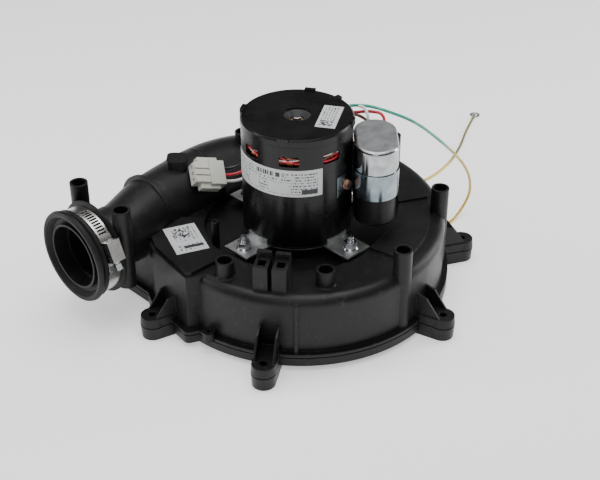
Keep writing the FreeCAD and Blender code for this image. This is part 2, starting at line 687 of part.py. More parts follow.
def capacitor_strap():
    """Strap round the can, with a foot screwed to the motor wall."""
    outer = oval(CAN_LENGTH + 2 * STRAP_T, CAN_DEPTH + 2 * STRAP_T, *STRAP_Z)
    strap = capacitor_place(outer.cut(oval(CAN_LENGTH, CAN_DEPTH, 90, 150)))
    foot = ring(MOTOR_R + STRAP_T, MOTOR_R, STRAP_Z[0] + 2, STRAP_Z[1] - 2)
    foot = foot.common(wedge(*STRAP_FOOT, 90, 140))
    strap = strap.cut(cyl(MOTOR_R + STRAP_T, 90, 140)).fuse(foot)
    return strap.cut(screw_cylinder(SCREW_R, 6)).removeSplitter()


def screw_cylinder(radius, length):
    pin = Part.makeCylinder(radius, length, V(MOTOR_R - MOTOR_WALL, 0, SCREW_Z), V(1, 0, 0))
    return turn(pin, SCREW_ANGLE)


def strap_screw():
    head = hexagon(7.0, 0, 3.2).fuse(cyl(4.6, 0, 0.9))
    head.rotate(ORIGIN, V(0, 1, 0), 90)
    head.translate(V(MOTOR_R + STRAP_T, 0, SCREW_Z))
    return turn(head, SCREW_ANGLE).fuse(screw_cylinder(SCREW_R, 2.8))


# ---- power plug and wires -----------------------------------------------------------------
def plug_place(shape):
    x_axis = V(PLUG_X)
    x_axis.normalize()
    z_axis = V(PLUG_Z)
    z_axis = z_axis - x_axis * z_axis.dot(x_axis)
    z_axis.normalize()
    return placed(shape, PLUG_CENTRE, x_axis, z_axis)


def power_plug():
    """Three-circuit nylon plug, nose towards -X, leads out of the +X end."""
    nose = box(-10.5, 3, -8.4, 8.4, -5, 5)
    for y in (-2.7, 2.7):
        nose = nose.cut(box(-11, 3, y - 0.6, y + 0.6, 4.0, 6))
    block = box(2.5, 15.5, -10, 10, -5.6, 5.6)
    latches = [box(-6, 11, 8, 13.2, -3.2, 3.2), box(-6, 11, -13.2, -8, -3.2, 3.2)]
    plug = nose.fuse([block] + latches)
    cores = [Part.makeCylinder(1.7, 18, V(-11.5, y, 0), V(1, 0, 0)) for y in PLUG_ROWS]
    return plug_place(plug.cut(cores).removeSplitter())


def plug_terminals():
    pins = [Part.makeCylinder(1.1, 16, V(-9.5, y, 0), V(1, 0, 0)) for y in PLUG_ROWS]
    return plug_place(group(pins))


def ring_terminal():
    """Crimped ring terminal lying flat at the end of the ground wire."""
    x, y = TERMINAL_CENTRE
    end = GROUND_ROUTE[-1]
    heading = math.degrees(math.atan2(y - end[1], x - end[0]))
    eye = ring(5.0, 2.6, 0.2, 1.1)
    neck = box(-7.5, -3.8, -2.0, 2.0, 0.2, 1.1)
    barrel = Part.makeCylinder(1.9, 4.2, V(-8.6, 0, 1.9), V(1, 0, 0))
    barrel = barrel.common(box(-10, 0, -3, 3, 0.2, 5))
    terminal = eye.fuse([neck, barrel])
    terminal.rotate(ORIGIN, UP, heading)
    terminal.translate(V(x, y, 0))
    return terminal


# ---- labels ---------------------------------------------------------------------------------
def wrap_label():
    band = ring(MOTOR_R + LABEL_T, MOTOR_R, *WRAP_LABEL_Z)
    return band.common(wedge(*WRAP_LABEL_ARC, *WRAP_LABEL_Z))


def flat_label(size, place, degrees):
    length, width = size
    label = box(-length / 2, length / 2, -width / 2, width / 2, 0, LABEL_T)
    label = turn(label, degrees)
    label.translate(place)
    return label


def top_label():
    return flat_label(TOP_LABEL, TOP_LABEL_PLACE, TOP_LABEL_TURN)


def housing_label():
    return flat_label(HOUSING_LABEL, HOUSING_LABEL_PLACE, HOUSING_LABEL_TURN)


NODES = {
    "volute_housing": volute_housing, "bottom_cover": bottom_cover, "cover_gasket": cover_gasket,
    "inlet_gasket": inlet_gasket, "cover_screws": cover_screws,
    "outlet_coupling": outlet_coupling, "clamp_band": clamp_band,
    "clamp_housing": clamp_housing, "clamp_screw": clamp_screw,
    "impeller": impeller, "impeller_hub": impeller_hub, "impeller_clip": impeller_clip,
    "cooling_fan": cooling_fan, "rotor_shaft": rotor_shaft, "rotor_core": rotor_core,
    "mounting_plate": mounting_plate, "ear_studs": ear_studs, "ear_nuts": ear_nuts,
    "motor_shell": motor_shell, "lead_grommets": lead_grommets, "motor_top_cap": motor_top_cap,
    "upper_bearing": upper_bearing, "upper_bearing_retainer": upper_bearing_retainer,
    "motor_bottom_bell": motor_bottom_bell, "lower_bearing": lower_bearing,
    "lower_bearing_retainer": lower_bearing_retainer, "stator_core": stator_core,
    "stator_windings": stator_windings, "shaft_seal": shaft_seal,
    "capacitor_can": capacitor_can, "capacitor_boot": capacitor_boot,
    "capacitor_terminals": capacitor_terminals, "capacitor_strap": capacitor_strap,
    "strap_screw": strap_screw, "power_plug": power_plug, "plug_terminals": plug_terminals,
    "ring_terminal": ring_terminal, "wrap_label": wrap_label, "top_label": top_label,
    "housing_label": housing_label,
}


def main():
    os.makedirs("parts", exist_ok=True)
    shapes = {name: build() for name, build in NODES.items()}
    shapes["ground_wire"] = cable("ground_wire", GROUND_ROUTE)
    for name, route in {**LEADS, **CAPACITOR_LEADS}.items():
        shapes[name] = cable(name, route)
    for name, shape in shapes.items():
        count = len(shape.Solids)
        print(f"{name}: {count} solid(s), valid {shape.isValid()}, volume {shape.Volume:.0f}")
        solid = shape.Solids[0] if count == 1 else shape
        solid.exportStep(f"parts/{name}.step")


main()
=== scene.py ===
import json
import math

import bpy
from mathutils import Matrix, Vector


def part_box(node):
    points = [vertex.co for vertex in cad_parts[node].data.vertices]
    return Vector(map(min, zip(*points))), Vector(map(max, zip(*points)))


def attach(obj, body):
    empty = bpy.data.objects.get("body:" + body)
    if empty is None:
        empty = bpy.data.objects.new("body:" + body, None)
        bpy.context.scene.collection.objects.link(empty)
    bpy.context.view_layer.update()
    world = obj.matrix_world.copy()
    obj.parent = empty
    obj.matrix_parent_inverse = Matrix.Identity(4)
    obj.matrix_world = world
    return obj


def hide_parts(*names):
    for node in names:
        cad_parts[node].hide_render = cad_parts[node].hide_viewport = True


# Combustion fan: finishes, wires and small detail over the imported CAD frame. Metres, +Z up.
# The pieces added here are fixed to the still part of the fan, and the frame's own nodes stay in place.

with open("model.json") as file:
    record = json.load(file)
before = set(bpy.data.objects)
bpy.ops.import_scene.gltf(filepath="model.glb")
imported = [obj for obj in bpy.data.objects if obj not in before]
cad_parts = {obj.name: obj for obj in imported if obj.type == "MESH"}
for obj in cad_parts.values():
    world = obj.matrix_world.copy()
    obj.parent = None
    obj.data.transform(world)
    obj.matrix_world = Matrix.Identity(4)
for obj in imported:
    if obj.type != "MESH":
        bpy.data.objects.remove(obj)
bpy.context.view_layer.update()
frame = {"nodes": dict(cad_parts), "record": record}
NODES = frame["nodes"]

MM = 0.001
FLOAT = "NodeSocketFloat"
COLOUR = "NodeSocketColor"

# ---- sizes, in metres ------------------------------------------------------------------
MOTOR_R = 42.0 * MM
WIRE_D = 2.4 * MM
STRAND_D = 0.9 * MM
ROLLED_EDGE_D = 1.0 * MM
STUD_R = 2.4 * MM
STUD_COUNT = 4
THREAD = {"Radius": 2.28 * MM, "Pitch": -0.8 * MM, "Depth": 0.22 * MM, "Threads": 6}
THREAD_SIDES = 28
THREAD_SECTION_SIDES = 6
FIRST_THREAD_BELOW_TOP = 0.6 * MM
FLOOR_HALF = 12.0

# ---- print on the labels ---------------------------------------------------------------
# ROW_STEP keeps the dashes of one row from lining up with those of the next.
ROW_INKED_SHARE = 0.42
ROW_STEP = 7.3
DASHES_PER_METRE = 900.0
BAR_WIDTH = 0.00055
CELL_WIDTH = 0.0011
UNDIVIDED = 0.1

# ---- places and sizes round the motor's axis, in millimetres --------------------------------
# The ring of coil ends, and the strand wound round it.
COIL_RING_R = 33.0
COIL_TURNS = 190
COIL_POINTS_PER_TURN = 8
COIL_Z = 131.8
COIL_HALF_WIDTH = 6.1
COIL_HALF_HEIGHT = 8.1
COIL_SWAY = 0.35
COIL_SWAYS_ROUND = 37

# Leads laced over the coil ends. Each goes up and down round the ring, in long and short waves.
LACING_R = 39.6
LACING_R_SWING = 0.2
LACING_R_WAVES = 3
LACING_LIFT = 2.2
LACING_RIPPLE = 0.6
LACING_RIPPLES = 11
LACING_POINTS = 72
LACED_LEADS = [
    # name, slot, diameter, height, waves, phase
    ("laced_red_lead", "wire_red", 1.7, 136.4, 5, 0.3),
    ("laced_dark_red_lead", "wire_red", 1.3, 138.0, 7, 2.1),
    ("laced_white_lead", "wire_white", 1.2, 137.8, 3, 1.2),
    ("laced_brown_lead", "wire_brown", 1.6, 139.3, 4, 0.0),
]

# Radius and height of the rolled edges on the motor can.
ROLLED_EDGES = {
    "cap_rolled_edge": (42.1, 149.6),
    "can_foot_edge": (41.7, 64.6),
}
ROLLED_EDGE_POINTS = 48

# ---- routes of the wires, in millimetres -------------------------------------------------------
# Each plug lead is listed from the plug to the motor's lower grommet.
LEADS = {
    "black": [(-14.7, 71.5, 86.0), (-7.5, 69.2, 83.9), (0, 64, 87), (6, 59, 93), (11.2, 52.8, 100.1),
              (9.15, 43.05, 100.3)],
    "red": [(-16.9, 68.0, 82.6), (-9.8, 65.6, 80.4), (-2, 60.5, 82.5), (4.5, 57, 88.5),
            (11.2, 52.8, 96.8), (9.15, 43.05, 97.0)],
    "white": [(-19.1, 64.4, 79.2), (-12, 62.0, 76.9), (-3.5, 57, 78), (3, 54, 84),
              (11.2, 52.8, 93.5), (9.15, 43.05, 93.7)],
}

# From the motor's upper grommet to the ring terminal.
GROUND_ROUTE = [
    (41.35, 15.05, 131.4), (49.3, 18.0, 131.8), (61, 7, 138), (68, -8, 141.5), (77, -24, 138),
    (95, -35.5, 127), (120, -39, 104), (150, -37, 76), (174, -32, 50), (185, -28.5, 30),
    (187.5, -26, 16), (178, -25.5, 5), (156, -30, 1.5), (145.5, -12, 1.4), (149, 13, 1.5),
    (161, 31, 1.4), (184, 37, 1.5), (208, 33.5, 1.4), (240, 38, 1.4), (275, 52, 1.5), (305, 69, 1.4),
    (331, 80.5, 1.5),
]

# From the upper grommet, round the far end of the capacitor's can and down into its boot.
CAPACITOR_LEAD = [
    (40.4, 17.6, 130.9), (50, 21.5, 132), (60, 12, 136), (66, 0, 139.5), (64, -10, 141), (60, -17, 138),
    (59.5, -19.5, 126), (57.5, -19.5, 108), (53, -20.2, 96), (49.3, -22.5, 90),
]

# ---- camera and lights, in metres, degrees and watts -------------------------------------------
CAMERA_PLACE = (-0.5584, -0.5614, 0.5624)
CAMERA_TILT = 56.8
CAMERA_HEADING = -45.0
LENS_MM = 72.0
SENSOR_MM = 36.0
LIT_POINT = (0.0, 0.0, 0.07)
LIGHTS = [
    # name, place, size, power
    ("top_softbox", (0.05, 0.05, 1.1), (0.9, 0.9), 9.5),
    ("left_softbox", (-0.75, 0.75, 0.45), (0.3, 0.9), 5.0),
    ("right_softbox", (1.05, -0.45, 0.42), (0.3, 0.8), 6.0),
    ("camera_fill", (-0.9, -0.7, 1.0), (0.6, 0.6), 2.5),
]


# ---- shader building -----------------------------------------------------------------
def set_inputs(node, values):
    """Sets the named inputs of a node and gives the node back."""
    for name, value in values.items():
        node.inputs[name].default_value = value
    return node


class Shader:
    """A material, or a node group, with short calls for adding and joining nodes."""

    def __init__(self, tree):
        self.tree = tree

    def add(self, kind, values=None, **settings):
        node = self.tree.nodes.new(kind)
        for name, value in settings.items():
            setattr(node, name, value)
        return set_inputs(node, values or {})

    def join(self, source, target):
        self.tree.links.new(source, target)

    def math(self, operation, a, b=None):
        node = self.add("ShaderNodeMath", operation=operation)
        for socket, value in zip(node.inputs, (a, b)):
            if value is None:
                continue
            if isinstance(value, (int, float)):
                socket.default_value = value
            else:
                self.join(value, socket)
        return node.outputs[0]

    def noise(self, vector, scale, detail=4.0, roughness=0.55):
        node = self.add("ShaderNodeTexNoise", {"Detail": detail, "Roughness": roughness})
        self.join(vector, node.inputs["Vector"])
        if isinstance(scale, (int, float)):
            node.inputs["Scale"].default_value = scale
        else:
            self.join(scale, node.inputs["Scale"])
        return node.outputs["Fac"]

    def spread(self, value, low, high, to_low=0.0, to_high=1.0):
        """Stretches low..high to to_low..to_high, and clips what lies outside."""
        node = self.add("ShaderNodeMapRange", {"From Min": low, "From Max": high,
                                               "To Min": to_low, "To Max": to_high})
        self.join(value, node.inputs["Value"])
        return node.outputs["Result"]

    def vector(self, x, y, z=None):
        """Vector put together from one value for each axis."""
        node = self.add("ShaderNodeCombineXYZ")
        for socket, value in zip(node.inputs, (x, y, z)):
            if value is not None:
                self.join(value, socket)
        return node.outputs[0]

    def axes(self, vector):
        """The X, Y and Z of a vector."""
        node = self.add("ShaderNodeSeparateXYZ")
        self.join(vector, node.inputs[0])
        return node.outputs

    def mix(self, factor, a, b):
        """Colour between a and b. Each of the three is a value or a socket."""
        node = self.add("ShaderNodeMix", data_type="RGBA")
        for socket, value in ((node.inputs[0], factor), (node.inputs[6], a), (node.inputs[7], b)):
            if hasattr(value, "is_linked"):
                self.join(value, socket)
            else:
                socket.default_value = value
        return node.outputs[2]

    def place(self):
        """Position on the object, which every pattern follows."""
        return self.add("ShaderNodeTexCoord").outputs["Object"]


def new_group(name, inputs, outputs):
    """Empty node group. Inputs are (name, kind, default), outputs are (name, kind)."""
    tree = bpy.data.node_groups.new(name, "ShaderNodeTree")
    for label, kind, default in inputs:
        socket = tree.interface.new_socket(label, in_out="INPUT", socket_type=kind)
        socket.default_value = default
    for label, kind in outputs:
        tree.interface.new_socket(label, in_out="OUTPUT", socket_type=kind)
    shader = Shader(tree)
    start = shader.add("NodeGroupInput")
    end = shader.add("NodeGroupOutput")
    return shader, start.outputs, end.inputs


def build_surface_tone():
    """Slow cloudy drift between two colours, with fine scuffs in a third."""
    inputs = [("Low", COLOUR, (0, 0, 0, 1)), ("High", COLOUR, (1, 1, 1, 1)),
              ("Scuff", COLOUR, (1, 1, 1, 1)), ("Cloud Scale", FLOAT, 20.0),
              ("Scuff Scale", FLOAT, 160.0), ("Scuff Amount", FLOAT, 0.2)]
    shader, start, end = new_group("surface_tone", inputs, [("Color", COLOUR)])
    place = shader.place()
    cloud = shader.spread(shader.noise(place, start["Cloud Scale"]), low=0.36, high=0.64)
    base = shader.mix(cloud, start["Low"], start["High"])
    flecks = shader.noise(place, start["Scuff Scale"], detail=8.0, roughness=0.7)
    scuff = shader.spread(flecks, low=0.58, high=0.74)
    amount = shader.math("MULTIPLY", scuff, start["Scuff Amount"])
    shader.join(shader.mix(amount, base, start["Scuff"]), end["Color"])
    return shader.tree


def build_roughness_drift():
    """Roughness that wanders round a middle value, as moulded and handled surfaces have."""
    inputs = [("Middle", FLOAT, 0.5), ("Swing", FLOAT, 0.1), ("Scale", FLOAT, 40.0)]
    shader, start, end = new_group("roughness_drift", inputs, [("Roughness", FLOAT)])
    cloud = shader.noise(shader.place(), start["Scale"], detail=5.0)
    drift = shader.spread(cloud, low=0.3, high=0.7, to_low=-1.0, to_high=1.0)
    swing = shader.math("MULTIPLY", drift, start["Swing"])
    shader.join(shader.math("ADD", start["Middle"], swing), end["Roughness"])
    return shader.tree


def build_fine_grain():
    """Height of a fine moulded or cast grain over a slow waviness."""
    inputs = [("Grain Scale", FLOAT, 900.0), ("Wave Scale", FLOAT, 60.0), ("Wave Share", FLOAT, 0.5)]
    shader, start, end = new_group("fine_grain", inputs, [("Height", FLOAT)])
    place = shader.place()
    grain = shader.noise(place, start["Grain Scale"], detail=2.0)
    wave = shader.noise(place, start["Wave Scale"], detail=2.0)
    shader.join(shader.math("ADD", grain, shader.math("MULTIPLY", wave, start["Wave Share"])), end["Height"])
    return shader.tree


def build_drawn_lines():
    """Fine lines left by brushing or drawing. Across is their rate on Z, and Along their rate on X and Y."""
    inputs = [("Across", FLOAT, 2200.0), ("Along", FLOAT, 40.0)]
    shader, start, end = new_group("drawn_lines", inputs, [("Lines", FLOAT)])
    axes = shader.axes(shader.place())
    rates = {"X": start["Along"], "Y": start["Along"], "Z": start["Across"]}
    stretched = shader.vector(*(shader.math("MULTIPLY", axes[axis], rate) for axis, rate in rates.items()))
    shader.join(shader.noise(stretched, 1.0, detail=3.0), end["Lines"])
    return shader.tree


def build_printed_rows():
    """Rows of blank dashes of uneven length, inside margins. U and V are in metres."""
    inputs = [("U", FLOAT, 0.0), ("V", FLOAT, 0.0), ("Half U", FLOAT, 0.02), ("Half V", FLOAT, 0.01),
              ("Pitch", FLOAT, 0.002), ("Dash", FLOAT, 260.0)]
    shader, start, end = new_group("printed_rows", inputs, [("Ink", FLOAT)])
    row = shader.math("DIVIDE", start["V"], start["Pitch"])
    bar = shader.math("LESS_THAN", shader.math("FRACT", row), ROW_INKED_SHARE)
    along = shader.math("MULTIPLY", start["U"], start["Dash"])
    down = shader.math("MULTIPLY", shader.math("FLOOR", row), ROW_STEP)
    chance = shader.noise(shader.vector(along, down), 1.0, detail=1.0)
    word = shader.math("GREATER_THAN", chance, 0.5)
    inside_u = shader.math("LESS_THAN", shader.math("ABSOLUTE", start["U"]), start["Half U"])
    inside_v = shader.math("LESS_THAN", shader.math("ABSOLUTE", start["V"]), start["Half V"])
    inside = shader.math("MULTIPLY", inside_u, inside_v)
    ink = shader.math("MULTIPLY", shader.math("MULTIPLY", bar, word), inside)
    shader.join(ink, end["Ink"])
    return shader.tree


def build_printed_patch():
    """Block of bars or cells, some inked. Share is how much of it is inked."""
    inputs = [("U", FLOAT, 0.0), ("V", FLOAT, 0.0), ("At U", FLOAT, 0.0), ("At V", FLOAT, 0.0),
              ("Half U", FLOAT, 0.004), ("Half V", FLOAT, 0.003), ("Cell U", FLOAT, 0.0006),
              ("Cell V", FLOAT, 0.0006), ("Share", FLOAT, 0.5)]
    shader, start, end = new_group("printed_patch", inputs, [("Ink", FLOAT), ("Inside", FLOAT)])
    off_u = shader.math("ABSOLUTE", shader.math("SUBTRACT", start["U"], start["At U"]))
    off_v = shader.math("ABSOLUTE", shader.math("SUBTRACT", start["V"], start["At V"]))
    inside = shader.math("MULTIPLY", shader.math("LESS_THAN", off_u, start["Half U"]),
                         shader.math("LESS_THAN", off_v, start["Half V"]))
    column = shader.math("FLOOR", shader.math("DIVIDE", start["U"], start["Cell U"]))
    row = shader.math("FLOOR", shader.math("DIVIDE", start["V"], start["Cell V"]))
    chance = shader.add("ShaderNodeTexWhiteNoise", noise_dimensions="3D")
    shader.join(shader.vector(column, row), chance.inputs["Vector"])
    inked = shader.math("LESS_THAN", chance.outputs["Value"], start["Share"])
    shader.join(shader.math("MULTIPLY", inked, inside), end["Ink"])
    shader.join(inside, end["Inside"])
    return shader.tree


TONE = build_surface_tone()
DRIFT = build_roughness_drift()
GRAIN = build_fine_grain()
LINES = build_drawn_lines()
ROWS = build_printed_rows()
PATCH = build_printed_patch()


def grouped(shader, tree, values):
    node = shader.add("ShaderNodeGroup")
    node.node_tree = tree
    return set_inputs(node, values)


def rgb(red, green, blue):
    return (red, green, blue, 1.0)


INK = rgb(0.03, 0.03, 0.035)
WHITE_SCUFF = rgb(0.16, 0.16, 0.165)


def new_material(name, **surface):
    """Material with a Principled surface. Gives the material, its shader and the surface node."""
    material = bpy.data.materials.new(name)
    material.use_nodes = True
    material.node_tree.nodes.clear()
    shader = Shader(material.node_tree)
    output = shader.add("ShaderNodeOutputMaterial")
    face = shader.add("ShaderNodeBsdfPrincipled", surface)
    shader.join(face.outputs[0], output.inputs["Surface"])
    return material, shader, face


def add_tone(shader, face, low, high, scuff, clouds, scuffs, amount):
    """Base colour from low to high in clouds, with an amount of scuffs. The two rates are per metre."""
    tone = grouped(shader, TONE, {"Low": low, "High": high, "Scuff": scuff, "Cloud Scale": clouds,
                                  "Scuff Scale": scuffs, "Scuff Amount": amount})
    shader.join(tone.outputs["Color"], face.inputs["Base Color"])


def add_roughness(shader, face, middle, swing, scale):
    drift = grouped(shader, DRIFT, {"Middle": middle, "Swing": swing, "Scale": scale})
    shader.join(drift.outputs["Roughness"], face.inputs["Roughness"])


def add_bump(shader, face, height, depth, edge_round=0.0):
    """Bump from a height, over edges rounded by edge_round metres."""
    bump = shader.add("ShaderNodeBump", {"Strength": 1.0, "Distance": depth})
    shader.join(height, bump.inputs["Height"])
    if edge_round:
        rounded = shader.add("ShaderNodeBevel", {"Radius": edge_round}, samples=4)
        shader.join(rounded.outputs["Normal"], bump.inputs["Normal"])
    shader.join(bump.outputs["Normal"], face.inputs["Normal"])


def moulded_plastic(name, dark, light, scuff=WHITE_SCUFF, *, rough, depth, edge, amount=0.25):
    """Moulded plastic or rubber, with a grain of some depth and corners rounded by edge."""
    material, shader, face = new_material(name, **{"Specular IOR Level": 0.27})
    add_tone(shader, face, dark, light, scuff, clouds=14.0, scuffs=190.0, amount=amount)
    add_roughness(shader, face, rough, swing=0.09, scale=26.0)
    grain = grouped(shader, GRAIN, {"Grain Scale": 1100.0, "Wave Scale": 45.0, "Wave Share": 1.6})
    add_bump(shader, face, grain.outputs["Height"], depth, edge)
    return material


def gloss_paint():
    """Black enamel of the motor can and its cap."""
    surface = {"Coat Weight": 0.12, "Coat Roughness": 0.12, "Specular IOR Level": 0.26}
    material, shader, face = new_material("gloss_black_enamel", **surface)
    add_tone(shader, face, rgb(0.0022, 0.0022, 0.0024), rgb(0.0042, 0.0042, 0.0045), rgb(0.06, 0.06, 0.06),
             clouds=18.0, scuffs=240.0, amount=0.08)
    add_roughness(shader, face, 0.3, swing=0.06, scale=60.0)
    grain = grouped(shader, GRAIN, {"Grain Scale": 420.0, "Wave Scale": 70.0, "Wave Share": 1.2})
    add_bump(shader, face, grain.outputs["Height"], depth=0.00005, edge_round=0.0004)
    return material


def plated_metal(name, low, high, spot, *, rough, swing=0.07, across=1500.0, along=60.0, depth=0.00002):
    """Metal from low to high, with spots of tarnish and fine lines of some depth."""
    material, shader, face = new_material(name, Metallic=1.0)
    add_tone(shader, face, low, high, spot, clouds=70.0, scuffs=320.0, amount=0.3)
    add_roughness(shader, face, rough, swing, scale=130.0)
    lines = grouped(shader, LINES, {"Across": across, "Along": along})
    add_bump(shader, face, lines.outputs["Lines"], depth, edge_round=0.0003)
    return material


def drawn_can():
    """Aluminium can: mirror-bright drawn sides and a matte, mottled end."""
    material, shader, face = new_material("drawn_aluminium_can", Metallic=1.0)
    add_tone(shader, face, rgb(0.32, 0.33, 0.34), rgb(0.46, 0.47, 0.48), rgb(0.2, 0.2, 0.21),
             clouds=120.0, scuffs=520.0, amount=0.5)
    facing = shader.axes(shader.add("ShaderNodeNewGeometry").outputs["Normal"])
    end = shader.spread(facing["Z"], low=0.55, high=0.95)
    fine = shader.noise(shader.place(), 900.0, detail=3.0)
    slow = shader.noise(shader.place(), 60.0, detail=3.0)
    mottled = shader.spread(fine, low=0.35, high=0.65, to_low=0.3, to_high=0.66)
    smooth = shader.spread(slow, low=0.35, high=0.65, to_low=0.09, to_high=0.17)
    rough = shader.add("ShaderNodeMix", data_type="FLOAT")
    shader.join(end, rough.inputs[0])
    shader.join(smooth, rough.inputs[2])
    shader.join(mottled, rough.inputs[3])
    shader.join(rough.outputs[0], face.inputs["Roughness"])
    lines = grouped(shader, LINES, {"Across": 60.0, "Along": 700.0})
    add_bump(shader, face, lines.outputs["Lines"], depth=0.00003)
    return material


def flat_axes(shader, centre, turn):
    """U and V on a flat label, from its centre and turned with it."""
    pose = {"Location": Vector(centre), "Rotation": (0.0, 0.0, math.radians(turn))}
    seat = shader.add("ShaderNodeMapping", pose, vector_type="TEXTURE")
    shader.join(shader.place(), seat.inputs["Vector"])
    axes = shader.axes(seat.outputs[0])
    return axes["X"], axes["Y"]


def wrapped_axes(shader, centre, turn):
    """U round the motor and V up it, from the middle of a label that is wrapped round it."""
    axes = shader.axes(shader.place())
    angle = shader.math("ARCTAN2", axes["Y"], axes["X"])
    whole = shader.math("MODULO", shader.math("ADD", angle, math.tau), math.tau)
    turned = shader.math("SUBTRACT", whole, math.radians(turn))
    return shader.math("MULTIPLY", turned, MOTOR_R), shader.math("SUBTRACT", axes["Z"], centre[2])


def patch(at_u, at_v, half_u, half_v, share, cell_u=UNDIVIDED, cell_v=UNDIVIDED):
    """Block on a label. A share of its cells is inked: 1 is solid, and 0 clears the rows under it."""
    return {"At U": at_u, "At V": at_v, "Half U": half_u, "Half V": half_v, "Share": share,
            "Cell U": cell_u, "Cell V": cell_v}


def printed_label(name, axes, centre, turn, half_u, half_v, pitch, patches):
    """White stock with rows of dashes, and patches of bars or cells that clear the rows under them."""
    material, shader, face = new_material(name, **{"Specular IOR Level": 0.4})
    u, v = axes(shader, centre, turn)
    rows = grouped(shader, ROWS, {"Half U": half_u, "Half V": half_v, "Pitch": pitch,
                                  "Dash": DASHES_PER_METRE})
    shader.join(u, rows.inputs["U"])
    shader.join(v, rows.inputs["V"])
    ink = rows.outputs["Ink"]
    for values in patches:
        block = grouped(shader, PATCH, values)
        shader.join(u, block.inputs["U"])
        shader.join(v, block.inputs["V"])
        clear = shader.math("SUBTRACT", 1.0, block.outputs["Inside"])
        ink = shader.math("ADD", shader.math("MULTIPLY", ink, clear), block.outputs["Ink"])
    paper = shader.mix(shader.noise(shader.place(), 300.0), rgb(0.54, 0.55, 0.56), rgb(0.63, 0.64, 0.65))
    shader.join(shader.mix(ink, paper, INK), face.inputs["Base Color"])
    add_roughness(shader, face, 0.36, swing=0.06, scale=200.0)
    return material


def insulated_surface(name, rough):
    """Surface of a wire's insulation, without its colour."""
    material, shader, face = new_material(name, **{"Coat Weight": 0.15})
    add_roughness(shader, face, rough, swing=0.05, scale=300.0)
    grain = grouped(shader, GRAIN, {"Grain Scale": 2600.0, "Wave Scale": 400.0, "Wave Share": 1.0})
    add_bump(shader, face, grain.outputs["Height"], depth=0.00003)
    return material, shader, face


def insulation(name, low, high):
    """Insulation in one colour, from low to high."""
    material, shader, face = insulated_surface(name, rough=0.34)
    add_tone(shader, face, low, high, rgb(0.5, 0.5, 0.5), clouds=160.0, scuffs=500.0, amount=0.06)
    return material


def earth_insulation():
    """Green insulation that turns yellow along the lower run, and olive near the ring terminal."""
    material, shader, face = insulated_surface("earth_wire_insulation", rough=0.38)
    along = shader.axes(shader.place())["X"]
    lower = shader.spread(along, low=0.124, high=0.15)
    olive = shader.spread(along, low=0.235, high=0.26)
    stripe = shader.spread(shader.noise(shader.place(), 45.0, detail=2.0), low=0.47, high=0.53)
    green = shader.mix(stripe, rgb(0.03, 0.34, 0.25), rgb(0.07, 0.44, 0.34))
    yellow = shader.mix(stripe, rgb(0.62, 0.40, 0.04), rgb(0.74, 0.54, 0.10))
    far = shader.mix(olive, yellow, rgb(0.20, 0.18, 0.07))
    shader.join(shader.mix(lower, green, far), face.inputs["Base Color"])
    return material


def plastic_finishes():
    """Moulded plastics and rubbers, by the slot that the frame gives them."""
    return {
        "housing_plastic": moulded_plastic(
            "black_moulded_scroll", rgb(0.0045, 0.0045, 0.0047), rgb(0.008, 0.008, 0.0083),
            rough=0.4, depth=0.00008, edge=0.0009, amount=0.18),
        "cover_plastic": moulded_plastic(
            "black_moulded_cover", rgb(0.004, 0.004, 0.0042), rgb(0.007, 0.007, 0.0072),
            rough=0.4, depth=0.00008, edge=0.0009, amount=0.15),
        "gasket_rubber": moulded_plastic(
            "gasket_rubber", rgb(0.010, 0.010, 0.010), rgb(0.018, 0.018, 0.018),
            rough=0.75, depth=0.0001, edge=0.0003),
        "coupling_rubber": moulded_plastic(
            "coupling_rubber", rgb(0.003, 0.003, 0.0032), rgb(0.006, 0.006, 0.0062),
            rough=0.55, depth=0.00005, edge=0.0005, amount=0.1),
        "impeller_plastic": moulded_plastic(
            "wheel_plastic", rgb(0.02, 0.02, 0.021), rgb(0.035, 0.035, 0.037),
            rough=0.45, depth=0.00005, edge=0.0004),
        "grommet_rubber": moulded_plastic(
            "grommet_rubber", rgb(0.02, 0.02, 0.02), rgb(0.03, 0.03, 0.03),
            rough=0.6, depth=0.00003, edge=0.0003),
        "boot_rubber": moulded_plastic(
            "boot_rubber", rgb(0.003, 0.003, 0.0032), rgb(0.006, 0.006, 0.0062),
            rough=0.42, depth=0.00003, edge=0.0006, amount=0.08),
        "retainer_plastic": moulded_plastic(
            "grey_retainer", rgb(0.022, 0.023, 0.025), rgb(0.04, 0.042, 0.045), rgb(0.12, 0.12, 0.12),
            rough=0.4, depth=0.00003, edge=0.0003),
        "white_nylon": moulded_plastic(
            "natural_nylon", rgb(0.54, 0.54, 0.48), rgb(0.64, 0.64, 0.58), rgb(0.5, 0.49, 0.44),
            rough=0.38, depth=0.00003, edge=0.0004, amount=0.1),
    }


